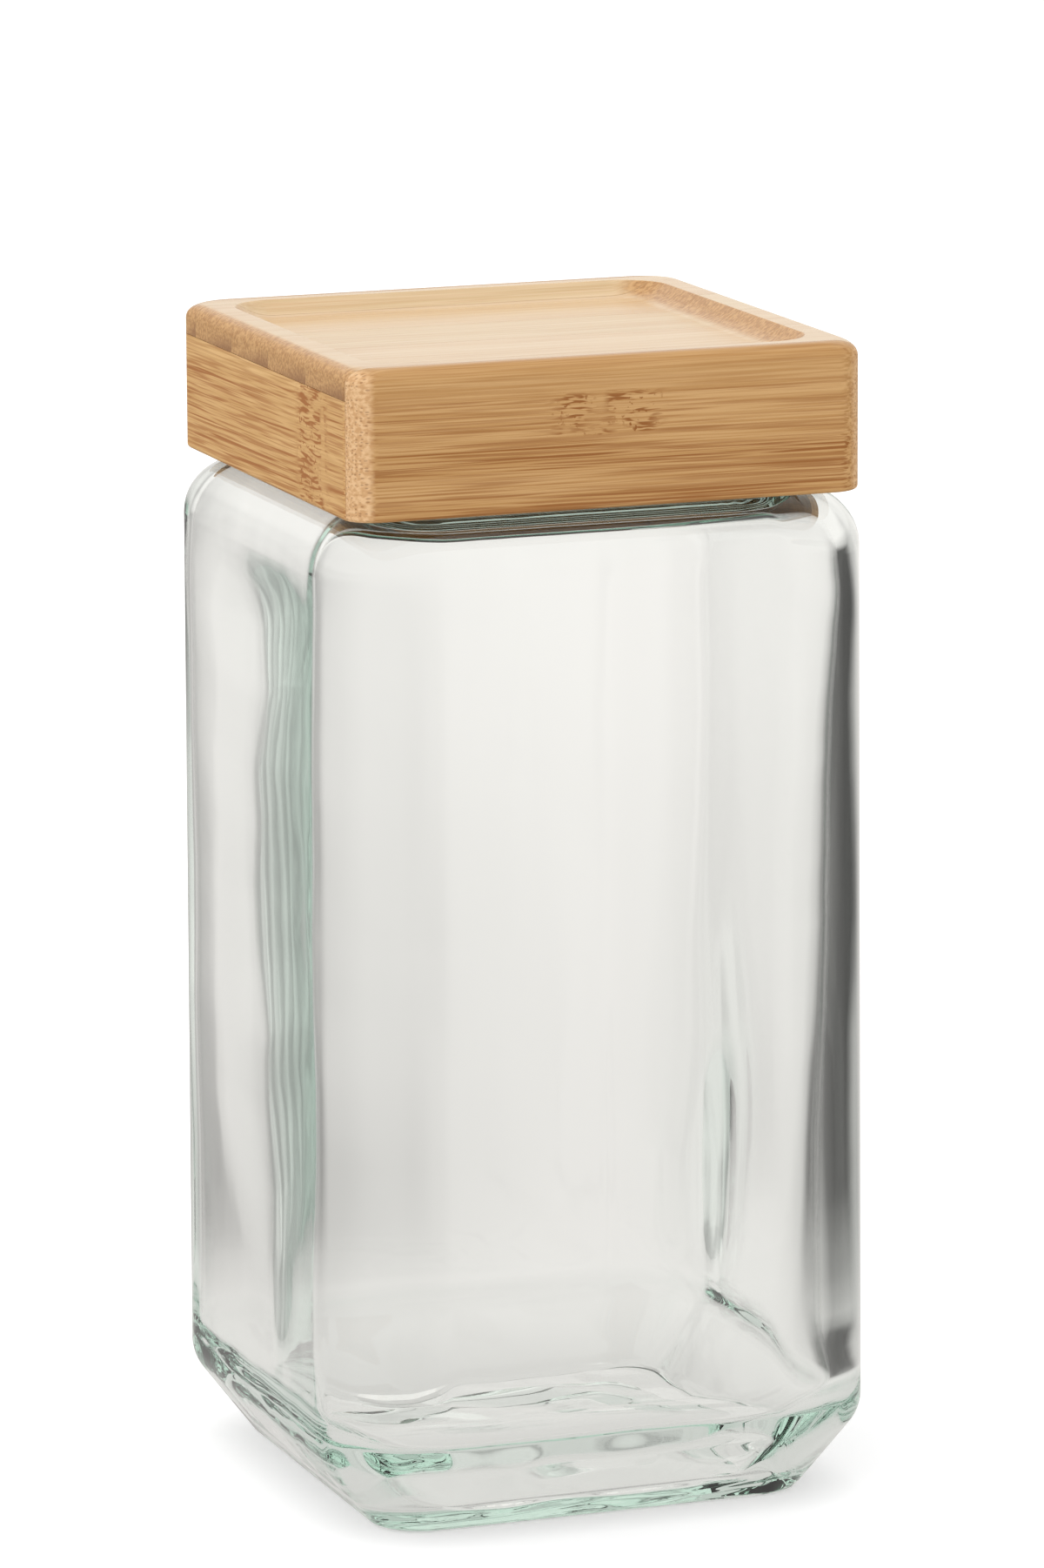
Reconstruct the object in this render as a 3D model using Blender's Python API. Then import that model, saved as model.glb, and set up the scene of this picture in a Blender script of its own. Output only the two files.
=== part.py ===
"""Square glass storage jar with a lift-off bamboo lid.

Metres, +Z up.  The origin is the centre of the base, on the surface that the jar stands on.
The lid's front is at -Y, and its long-grained rails run along X.
The lid pieces hang from one empty on the jar's upright axis, at the height of the rim.
"""

import math

import bmesh
import bpy

# Outside of the glass body
BODY_WIDTH = 0.112
BODY_CORNER_RADIUS = 0.020
BODY_DRAFT = 0.0005
SHOULDER_HEIGHT = 0.1985
SHOULDER_RADIUS = 0.0115

# Sloping band that draws the body in to its narrower base
BASE_INSET = 0.0124
BASE_RISE = 0.0165
BASE_CORNER_RADIUS = 0.0095
BASE_EDGE_RADIUS = 0.003
HIP_RADIUS = 0.009

# Hollow under the base, inside the ring that the jar stands on
BEARING_WIDTH = 0.006
PUSH_UP_SLOPE_WIDTH = 0.012
PUSH_UP_DEPTH = 0.0012

# Inside of the glass body
WALL = 0.004
INNER_CORNER_RADIUS = 0.021
INNER_SHOULDER_RADIUS = 0.009
INNER_HIP_RADIUS = 0.008
FLOOR_THICKNESS = 0.0055
FLOOR_INSET = 0.012
FLOOR_RISE = 0.0155
FLOOR_CORNER_RADIUS = 0.012
FLOOR_EDGE_RADIUS = 0.006

# Neck, which the lid hides
NECK_HEIGHT = 0.023
NECK_WALL = 0.0035
NECK_CORNER_RADIUS = 0.014
NECK_FOOT_RADIUS = 0.0005
RIM_RADIUS = 0.0015

# Lid
LID_SETBACK = 0.004
LID_CORNER_RADIUS = 0.0055
LID_TOP_ROUND = 0.003
LID_BOTTOM_ROUND = 0.0008
RAIL_THICKNESS = 0.0042
PANEL_THICKNESS = 0.006
STRIP_COUNT = 5
STRIP_PITCH_SHARE = 0.232
RECESS_DEPTH = 0.003
RECESS_CORNER_RADIUS = 0.0095
COVE_RADIUS = 0.004

# Plug under the lid, with its seal
PLUG_THICKNESS = 0.010
PLUG_EDGE_ROUND = 0.0008
GROOVE_DEPTH = 0.0015
GROOVE_HEIGHT = 0.0056
GROOVE_DROP = 0.0022
FIN_COUNT = 2
FIN_ROOT_THICKNESS = 0.0016
FIN_TIP_THICKNESS = 0.0007
SEAL_BAND_THICKNESS = 0.0016

# Fits between neighbours
GLUE_LINE = 0.0001
SEAT_GAP = 0.0003
SKIRT_GAP = 0.0038
SHOULDER_GAP = 0.0005
PLUG_GAP = 0.003
STACKING_GAP = 0.0014
OVERRUN = 0.002

# How finely the round parts are cut
CORNER_STEPS = 8
FILLET_STEPS = 4
SMOOTH_ANGLE = math.radians(35)

# Sizes that follow from those above
body_half = BODY_WIDTH / 2
base_half = body_half - BASE_INSET
lid_half = body_half - LID_SETBACK
skirt_inner_half = lid_half - RAIL_THICKNESS
neck_half = skirt_inner_half - SKIRT_GAP
mouth_half = neck_half - NECK_WALL
mouth_corner_radius = NECK_CORNER_RADIUS - NECK_WALL
inner_half = body_half - WALL
floor_half = inner_half - FLOOR_INSET
rim_height = SHOULDER_HEIGHT + NECK_HEIGHT
panel_underside = rim_height + SEAT_GAP
lid_top = panel_underside + PANEL_THICKNESS
lid_bottom = SHOULDER_HEIGHT + SHOULDER_GAP
recess_half = base_half + STACKING_GAP
recess_floor = lid_top - RECESS_DEPTH
plug_half = mouth_half - PLUG_GAP
plug_corner_radius = mouth_corner_radius - PLUG_GAP
plug_top = panel_underside - GLUE_LINE
plug_bottom = plug_top - PLUG_THICKNESS
groove_top = plug_top - GROOVE_DROP
groove_bottom = groove_top - GROOVE_HEIGHT
groove_half = plug_half - GROOVE_DEPTH


def clear_scene():
    """Removes whatever objects the scene starts with."""
    for existing in list(bpy.data.objects):
        bpy.data.objects.remove(existing, do_unlink=True)


def make_collection(name):
    """Makes a collection in the scene and returns it."""
    collection = bpy.data.collections.new(name)
    bpy.context.scene.collection.children.link(collection)
    return collection


def make_material(name, colour, roughness, transmission=0.0):
    """Makes a plain material; none of the jar's pieces is metal."""
    material = bpy.data.materials.new(name)
    material.use_nodes = True
    shader = material.node_tree.nodes["Principled BSDF"]
    shader.inputs["Base Color"].default_value = (*colour, 1.0)
    shader.inputs["Roughness"].default_value = roughness
    shader.inputs["Metallic"].default_value = 0.0
    shader.inputs["Transmission Weight"].default_value = transmission
    material.diffuse_color = (*colour, 1.0)
    return material


def finish_object(name, mesh, collection, material=None, parent=None):
    """Puts a mesh in a collection as a smooth-shaded object."""
    mesh.shade_smooth()
    mesh.set_sharp_from_angle(angle=SMOOTH_ANGLE)
    piece = bpy.data.objects.new(name, mesh)
    collection.objects.link(piece)
    if material is not None:
        mesh.materials.append(material)
    if parent is not None:
        piece.parent = parent
        piece.matrix_parent_inverse = parent.matrix_world.inverted()
    return piece


def as_cutter(piece):
    """Marks an object as a cutter, which is not a piece of the jar."""
    piece.hide_render = True
    piece.display_type = "WIRE"
    return piece


def rounded_square(half, corner_radius, height):
    """Points of a level square with round corners, counter-clockwise from +X."""
    centre = half - corner_radius
    points = []
    for quarter, (side_x, side_y) in enumerate(((1, 1), (-1, 1), (-1, -1), (1, -1))):
        for step in range(CORNER_STEPS + 1):
            angle = math.radians(90) * (quarter + step / CORNER_STEPS)
            x = side_x * centre + corner_radius * math.cos(angle)
            y = side_y * centre + corner_radius * math.sin(angle)
            points.append((x, y, height))
    return points


def between(start, end, share):
    """The value or point that lies a share of the way from start to end."""
    return tuple(a + (b - a) * share for a, b in zip(start, end))


def trims_of(corners, closed):
    """How far each corner's fillet reaches along its two sides, limited by their length."""
    count = len(corners)
    trims = []
    for index, corner in enumerate(corners):
        before, after = corners[index - 1], corners[(index + 1) % count]
        turn_in = math.atan2(corner[1] - before[1], corner[0] - before[0])
        turn_out = math.atan2(after[1] - corner[1], after[0] - corner[0])
        turn = abs(math.remainder(turn_out - turn_in, math.tau))
        ends_here = not closed and index in (0, count - 1)
        trims.append(0.0 if ends_here else corner[3] * math.tan(turn / 2))
    limited = list(trims)
    for index in range(count if closed else count - 1):
        other = (index + 1) % count
        side = math.dist(corners[index][:2], corners[other][:2])
        wanted = trims[index] + trims[other]
        if wanted > side:
            limited[index] = min(limited[index], trims[index] * side / wanted)
            limited[other] = min(limited[other], trims[other] * side / wanted)
    return limited


def rounded_path(corners, closed=False):
    """Stations along an upright outline whose corners are rounded.

    Each corner is (half width, height, corner radius of the square there, fillet radius), and
    each station is (half width, height, corner radius).
    """
    stations = []
    for index, (corner, trim) in enumerate(zip(corners, trims_of(corners, closed))):
        middle = corner[:3]
        if trim == 0.0:
            stations.append(middle)
            continue
        before, after = corners[index - 1], corners[(index + 1) % len(corners)]
        start = between(middle, before[:3], trim / math.dist(corner[:2], before[:2]))
        end = between(middle, after[:3], trim / math.dist(corner[:2], after[:2]))
        heading_in = math.atan2(corner[1] - start[1], corner[0] - start[0])
        heading_out = math.atan2(end[1] - corner[1], end[0] - corner[0])
        turn = math.remainder(heading_out - heading_in, math.tau)
        radius = trim / math.tan(abs(turn) / 2)
        for step in range(FILLET_STEPS + 1):
            share = step / FILLET_STEPS
            swept = turn * share
            chord = 2 * radius * math.sin(abs(swept) / 2)
            heading = heading_in + swept / 2
            half = start[0] + chord * math.cos(heading)
            height = start[1] + chord * math.sin(heading)
            first = between(start, middle, share)[2]
            second = between(middle, end, share)[2]
            stations.append((half, height, first + (second - first) * share))
    return distinct(stations)


def distinct(stations):
    """Leaves out each station that repeats the one before it."""
    kept = [stations[0]]
    for station in stations[1:]:
        if math.dist(station[:2], kept[-1][:2]) > GLUE_LINE / 10:
            kept.append(station)
    return kept


def loft_mesh(name, stations, closed=False):
    """A closed mesh through level rounded squares, capped at both ends or run round to its start."""
    shape = bmesh.new()
    rings = [
        [shape.verts.new(point) for point in rounded_square(half, corner_radius, height)]
        for half, height, corner_radius in stations
    ]
    pairs = list(zip(rings, rings[1:]))
    if closed:
        pairs.append((rings[-1], rings[0]))
    for lower, upper in pairs:
        for index, corner in enumerate(lower):
            following = (index + 1) % len(lower)
            shape.faces.new((corner, lower[following], upper[following], upper[index]))
    if not closed:
        shape.faces.new(list(reversed(rings[0])))
        shape.faces.new(rings[-1])
    bmesh.ops.recalc_face_normals(shape, faces=shape.faces)
    mesh = bpy.data.meshes.new(name)
    shape.to_mesh(mesh)
    shape.free()
    return mesh


def box_shape(low, high):
    """A box between two corners, as a bmesh."""
    shape = bmesh.new()
    bmesh.ops.create_cube(shape, size=1)
    size = [top - bottom for bottom, top in zip(low, high)]
    middle = [(top + bottom) / 2 for bottom, top in zip(low, high)]
    bmesh.ops.scale(shape, vec=size, verts=shape.verts)
    bmesh.ops.translate(shape, vec=middle, verts=shape.verts)
    return shape


def box_mesh(name, low, high):
    """A box between two corners, as a mesh."""
    shape = box_shape(low, high)
    mesh = bpy.data.meshes.new(name)
    shape.to_mesh(mesh)
    shape.free()
    return mesh


def add_boolean(piece, cutter, operation):
    """Cuts a piece with a cutter, or keeps only what lies inside it."""
    modifier = piece.modifiers.new(cutter.name, "BOOLEAN")
    modifier.operation = operation
    modifier.solver = "EXACT"
    modifier.object = cutter


def glass_jar(collection, material):
    """The one-piece glass body, with its narrower base, round shoulder and neck."""
    push_up_half = base_half - BEARING_WIDTH - BASE_EDGE_RADIUS
    crown_half = push_up_half - PUSH_UP_SLOPE_WIDTH
    inner_shoulder_height = SHOULDER_HEIGHT - WALL
    inner_top_half = inner_half - BODY_DRAFT
    slope_top = FLOOR_THICKNESS + FLOOR_RISE
    corners = [
        (crown_half, PUSH_UP_DEPTH, BASE_CORNER_RADIUS, 0.0),
        (push_up_half, 0.0, BASE_CORNER_RADIUS, 0.0),
        (base_half, 0.0, BASE_CORNER_RADIUS, BASE_EDGE_RADIUS),
        (body_half, BASE_RISE, BODY_CORNER_RADIUS, HIP_RADIUS),
        (body_half - BODY_DRAFT, SHOULDER_HEIGHT, BODY_CORNER_RADIUS, SHOULDER_RADIUS),
        (neck_half, SHOULDER_HEIGHT, NECK_CORNER_RADIUS, NECK_FOOT_RADIUS),
        (neck_half, rim_height, NECK_CORNER_RADIUS, RIM_RADIUS),
        (mouth_half, rim_height, mouth_corner_radius, RIM_RADIUS),
        (mouth_half, inner_shoulder_height, mouth_corner_radius, WALL),
        (inner_top_half, inner_shoulder_height, INNER_CORNER_RADIUS, INNER_SHOULDER_RADIUS),
        (inner_half, slope_top, INNER_CORNER_RADIUS, INNER_HIP_RADIUS),
        (floor_half, FLOOR_THICKNESS, FLOOR_CORNER_RADIUS, FLOOR_EDGE_RADIUS),
        (floor_half - FLOOR_EDGE_RADIUS, FLOOR_THICKNESS, FLOOR_EDGE_RADIUS, 0.0),
    ]
    mesh = loft_mesh("glass_jar", rounded_path(corners))
    return finish_object("glass_jar", mesh, collection, material)


def lid_form(collection):
    """The finished outside of the lid, which every outer piece is shaped to after gluing."""
    shape = box_shape((-lid_half, -lid_half, lid_bottom), (lid_half, lid_half, lid_top))
    upright = [e for e in shape.edges if abs(e.verts[0].co.z - e.verts[1].co.z) > OVERRUN]
    bmesh.ops.bevel(
        shape,
        geom=upright,
        offset=LID_CORNER_RADIUS,
        segments=CORNER_STEPS,
        profile=0.5,
        affect="EDGES",
    )
    for height, radius in ((lid_top, LID_TOP_ROUND), (lid_bottom, LID_BOTTOM_ROUND)):
        level = [
            edge
            for edge in shape.edges
            if all(abs(corner.co.z - height) < GLUE_LINE for corner in edge.verts)
        ]
        bmesh.ops.bevel(
            shape,
            geom=level,
            offset=radius,
            segments=FILLET_STEPS,
            profile=0.5,
            affect="EDGES",
        )
    mesh = bpy.data.meshes.new("lid_form")
    shape.to_mesh(mesh)
    shape.free()
    return as_cutter(finish_object("lid_form", mesh, collection))


def stacking_recess(collection):
    """The shallow well in the lid's top, with a coved edge, that takes the base of another jar."""
    wall_half = recess_half + COVE_RADIUS - math.sqrt(
        COVE_RADIUS**2 - (COVE_RADIUS - RECESS_DEPTH) ** 2
    )
    radius = RECESS_CORNER_RADIUS + wall_half - recess_half
    floor_radius = radius - COVE_RADIUS
    corners = [
        (wall_half - COVE_RADIUS - OVERRUN, recess_floor, floor_radius, 0.0),
        (wall_half, recess_floor, radius, COVE_RADIUS),
        (wall_half, lid_top + COVE_RADIUS + OVERRUN, radius, 0.0),
    ]
    mesh = loft_mesh("stacking_recess", rounded_path(corners))
    return as_cutter(finish_object("stacking_recess", mesh, collection))


def long_rails(collection, material, form, axis):
    """Front and rear rails: full height, and full width along X."""
    reach = lid_half + OVERRUN
    for name, side in (("front_rail", -1), ("rear_rail", 1)):
        faces = sorted((side * reach, side * skirt_inner_half))
        low = (-reach, faces[0], lid_bottom - OVERRUN)
        high = (reach, faces[1], lid_top + OVERRUN)
        rail = finish_object(name, box_mesh(name, low, high), collection, material, axis)
        add_boolean(rail, form, "INTERSECT")


def short_rails(collection, material, form, axis):
    """Left and right rails: under the panel, between the front and rear rails."""
    reach = lid_half + OVERRUN
    run = skirt_inner_half - GLUE_LINE
    for name, side in (("left_rail", -1), ("right_rail", 1)):
        faces = sorted((side * reach, side * skirt_inner_half))
        low = (faces[0], -run, lid_bottom - OVERRUN)
        high = (faces[1], run, panel_underside - GLUE_LINE)
        rail = finish_object(name, box_mesh(name, low, high), collection, material, axis)
        add_boolean(rail, form, "INTERSECT")


def panel_strips(collection, material, form, recess, axis):
    """The top panel's strips, glued edge to edge from the front rail back.

    All are cut to one width but the last, which fills what is left before the rear rail.
    """
    reach = lid_half + OVERRUN
    pitch = 2 * skirt_inner_half * STRIP_PITCH_SHARE
    for index in range(STRIP_COUNT):
        name = f"panel_strip_{index + 1}"
        near = -skirt_inner_half + GLUE_LINE + pitch * index
        far = near + pitch - GLUE_LINE
        if index == STRIP_COUNT - 1:
            far = skirt_inner_half - GLUE_LINE
        low = (-reach, near, panel_underside)
        high = (reach, far, lid_top + OVERRUN)
        strip = finish_object(name, box_mesh(name, low, high), collection, material, axis)
        add_boolean(strip, form, "INTERSECT")
        add_boolean(strip, recess, "DIFFERENCE")


def plug_corner(half):
    """Corner radius that keeps a square parallel with the plug's sides."""
    return plug_corner_radius + half - plug_half


def plug_board(collection, material, axis):
    """The board glued under the panel, with a groove round its edge for the seal."""
    inner_plug_half = plug_half - 2 * GROOVE_DEPTH
    corners = [
        (inner_plug_half, plug_bottom, plug_corner(inner_plug_half), 0.0),
        (plug_half, plug_bottom, plug_corner_radius, PLUG_EDGE_ROUND),
        (plug_half, groove_bottom, plug_corner_radius, 0.0),
        (groove_half, groove_bottom, plug_corner(groove_half), 0.0),
        (groove_half, groove_top, plug_corner(groove_half), 0.0),
        (plug_half, groove_top, plug_corner_radius, 0.0),
        (plug_half, plug_top, plug_corner_radius, 0.0),
        (inner_plug_half, plug_top, plug_corner(inner_plug_half), 0.0),
    ]
    mesh = loft_mesh("plug_board", rounded_path(corners))
    return finish_object("plug_board", mesh, collection, material, axis)


def silicone_seal(collection, material, axis):
    """The finned ring that sits in the plug's groove and wipes the inside of the mouth."""
    back_half = groove_half + SEAT_GAP
    band_half = back_half + SEAL_BAND_THICKNESS
    tip_half = mouth_half - SEAT_GAP
    low = groove_bottom + SEAT_GAP
    high = groove_top - SEAT_GAP
    pitch = (high - low) / FIN_COUNT
    root = min(FIN_ROOT_THICKNESS, pitch - GLUE_LINE) / 2
    tip = min(FIN_TIP_THICKNESS / 2, root)
    outline = [(back_half, low), (band_half, low)]
    for index in range(FIN_COUNT):
        centre = low + pitch * (index + 1 / 2)
        outline += [
            (band_half, centre - root),
            (tip_half, centre - tip),
            (tip_half, centre + tip),
            (band_half, centre + root),
        ]
    outline += [(band_half, high), (back_half, high)]
    corners = [(half, height, plug_corner(half), 0.0) for half, height in outline]
    mesh = loft_mesh("silicone_seal", rounded_path(corners, closed=True), closed=True)
    return finish_object("silicone_seal", mesh, collection, material, axis)


def main():
    """Builds the jar and its lid."""
    clear_scene()
    parts = make_collection("storage_jar")
    cutters = make_collection("storage_jar_cutters")
    glass = make_material("clear_green_glass", (0.80, 0.90, 0.86), 0.03, transmission=1.0)
    bamboo = make_material("bamboo", (0.62, 0.38, 0.17), 0.45)
    silicone = make_material("clear_silicone", (0.85, 0.86, 0.84), 0.4)

    lift_axis = bpy.data.objects.new("lid_lift_axis", None)
    lift_axis.location = (0.0, 0.0, rim_height)
    parts.objects.link(lift_axis)
    bpy.context.view_layer.update()

    form = lid_form(cutters)
    recess = stacking_recess(cutters)
    glass_jar(parts, glass)
    long_rails(parts, bamboo, form, lift_axis)
    short_rails(parts, bamboo, form, lift_axis)
    panel_strips(parts, bamboo, form, recess, lift_axis)
    plug_board(parts, bamboo, lift_axis)
    silicone_seal(parts, silicone, lift_axis)


main()
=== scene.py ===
"""Looks of a square glass storage jar with a lift-off bamboo lid.

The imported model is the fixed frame: metres, +Z up, the jar standing on the origin.  The glass, the
lid's boards, the plug and the seal are built again here as fine meshes in the frame's own space,
dressed with their finishes and hung on the bodies that they move with.
"""

import logging
import math
from dataclasses import dataclass
from enum import Enum
from typing import Iterable, NamedTuple, Sequence

import bmesh
import bpy
from mathutils import Matrix, Vector, noise


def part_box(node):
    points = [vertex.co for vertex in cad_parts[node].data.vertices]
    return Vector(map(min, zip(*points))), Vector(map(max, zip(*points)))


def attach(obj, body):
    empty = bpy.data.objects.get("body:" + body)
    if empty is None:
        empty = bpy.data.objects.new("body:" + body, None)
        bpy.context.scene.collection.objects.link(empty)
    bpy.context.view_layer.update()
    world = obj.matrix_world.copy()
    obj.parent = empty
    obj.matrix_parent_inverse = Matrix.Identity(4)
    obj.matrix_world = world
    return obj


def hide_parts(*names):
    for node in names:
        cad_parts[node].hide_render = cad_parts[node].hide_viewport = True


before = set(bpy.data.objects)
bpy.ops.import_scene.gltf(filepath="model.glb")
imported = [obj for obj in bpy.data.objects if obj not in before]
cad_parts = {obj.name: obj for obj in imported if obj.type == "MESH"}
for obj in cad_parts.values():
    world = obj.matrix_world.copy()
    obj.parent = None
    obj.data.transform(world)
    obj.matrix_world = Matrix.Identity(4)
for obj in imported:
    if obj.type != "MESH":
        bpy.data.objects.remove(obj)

log = logging.getLogger("storage_jar")

Colour = tuple[float, float, float, float]
WHITE: Colour = (1.0, 1.0, 1.0, 1.0)
SMOOTH_ANGLE = math.radians(35)


class GrainAxis(Enum):
    """Which way a board's fibres run."""

    ALONG_X = "x"
    ALONG_Y = "y"


class MixKind(Enum):
    """What a mixing node mixes: its type, its first input's number and its output's number."""

    NUMBERS = ("FLOAT", 2, 0)
    COLOURS = ("RGBA", 6, 2)


class Station(NamedTuple):
    """One level of an upright form, a rounded square.

    Args:
        half: Half its width.
        height: How high it lies.
        corner: The radius of its upright corners.
    """

    half: float
    height: float
    corner: float


class Turn(NamedTuple):
    """A corner of an upright outline.

    Args:
        half: Half the form's width there.
        height: How high it lies.
        corner: The radius of the form's upright corners there.
        fillet: The radius that rounds the turn itself.
    """

    half: float
    height: float
    corner: float
    fillet: float = 0.0


class Steps(NamedTuple):
    """How finely a form is lofted.

    Args:
        corner: Steps round each upright corner.
        side: Steps along each straight side.
        arc: Steps round each rounded corner of the outline.
        longest: The longest run of the outline that is left without a station of its own.
    """

    corner: int
    side: int
    arc: int
    longest: float


class Slice(NamedTuple):
    """How the jar's moulded inside strays from an even wall at one height.

    Lengths are in millimetres.  Corners and walls are listed counter-clockwise, from the back
    right corner and from the right wall.

    Args:
        height: How high the slice lies.
        corners: What each upright corner adds to the inner radius.
        bellies: How much thinner each wall gets towards its upright edges.
        left_gather: Where the left wall is thickest, how far that reaches, and how much it adds.
        right_gather: The same for the right wall.
    """

    height: float
    corners: tuple[float, ...]
    bellies: tuple[float, ...]
    left_gather: tuple[float, ...]
    right_gather: tuple[float, ...] = (33.0, 12.0, 0.0)

    def blended(self, other: "Slice", share: float) -> "Slice":
        """The slice that lies a share of the way to another.

        Args:
            other: The slice at the way's end.
            share: How far along the way it lies, from 0 to 1.

        Returns:
            The slice there.
        """
        rows = (
            tuple(a + (b - a) * share for a, b in zip(mine, theirs))
            for mine, theirs in zip(self[1:], other[1:])
        )
        return Slice(self.height + (other.height - self.height) * share, *rows)


SLICES = (
    Slice(22, (-0.65, 1.46, 1.77, 3.6), (-0.30, 1.70, 0.63, -0.09), (-6.4, 8.6, 0.00), (38.0, 9.4, 1.0)),
    Slice(33, (-0.65, 1.46, 1.77, 3.6), (-0.30, 1.70, 0.63, -0.09), (-6.4, 8.6, 0.45), (38.0, 9.4, 2.0)),
    Slice(48, (-0.65, 1.46, 1.77, 3.6), (-0.30, 1.70, 0.63, -0.09), (-6.4, 8.6, 0.90), (38.0, 9.8, 2.6)),
    Slice(62, (-0.57, 1.19, 1.37, 3.5), (-0.20, 1.65, 0.53, 0.06), (-5.7, 14.3, 1.44), (36.0, 11.4, 1.8)),
    Slice(76, (-0.62, 0.52, 1.11, 3.4), (-0.10, 1.60, 0.56, 0.19), (-2.29, 19.3, 1.53), (33.5, 12.4, 0.9)),
    Slice(90, (-0.77, 0.02, 1.15, 3.2), (0.03, 1.30, 0.63, 0.18), (-2.5, 20.2, 1.33), (33.0, 12.0, 0.75)),
    Slice(104, (-0.83, 0.54, 1.55, 3.5), (0.28, 1.03, 0.40, -0.05), (1.0, 18.0, 1.80), (33.0, 12.0, 0.41)),
    Slice(118, (-0.98, 0.71, 1.60, 3.5), (0.42, 1.00, 0.40, -0.20), (3.0, 18.0, 1.80), (33.0, 12.0, 0.14)),
    Slice(131, (-1.39, -0.20, 1.37, 3.1), (0.51, 0.93, 0.42, -0.07), (1.5, 20.0, 1.40)),
    Slice(145, (-1.58, -0.91, 1.25, 2.45), (0.53, 0.72, 0.56, 0.16), (4.4, 19.8, 1.26)),
    Slice(159, (-1.80, -1.27, 1.10, 1.84), (0.50, 0.48, 0.47, 0.24), (-1.10, 19.4, 1.29)),
    Slice(172, (-1.95, -1.81, 1.02, 1.35), (0.69, 0.30, 0.47, 0.14), (0.40, 21.0, 2.05)),
    Slice(180, (-1.61, -2.52, 1.02, 0.82), (1.09, 0.12, 0.58, 0.03), (-2.10, 20.7, 2.21)),
    Slice(190, (-1.61, -2.52, 1.02, 0.82), (1.09, 0.12, 0.58, 0.03), (-2.10, 20.7, 0.00)),
)


class Packing(NamedTuple):
    """How closely a noise in the glass is packed along each axis, per metre.

    Args:
        x: How closely it is packed from side to side.
        y: The same from front to back.
        z: The same upwards, zero where it doesn't change with height.
        start: What is added to its height, to set it apart from the others.
    """

    x: float
    y: float
    z: float
    start: float

    def spot(self, point: Vector) -> Vector:
        """Where to read the noise for a point."""
        return Vector((point.x * self.x, point.y * self.y, point.z * self.z + self.start))


# The noises that move the inside of the glass, and how far the last two are bent out of line.
LONG_WAVE = Packing(38.0, 38.0, 14.0, 3.7)
SHORT_WAVE = Packing(110.0, 110.0, 34.0, 9.1)
WARP = Packing(30.0, 30.0, 0.0, 2.3)
SWIRL = Packing(34.0, 52.0, 0.0, 5.1)
SWIRL_WARP = 1.4
CURL = Packing(90.0, 120.0, 0.0, 8.6)
CURL_WARP = 2.0


def blend_stations(first: Sequence[float], second: Sequence[float], share: float) -> Station:
    """The station that lies a share of the way from one to another."""
    return Station(*(a + (b - a) * share for a, b in zip(first[:3], second[:3])))


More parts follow.
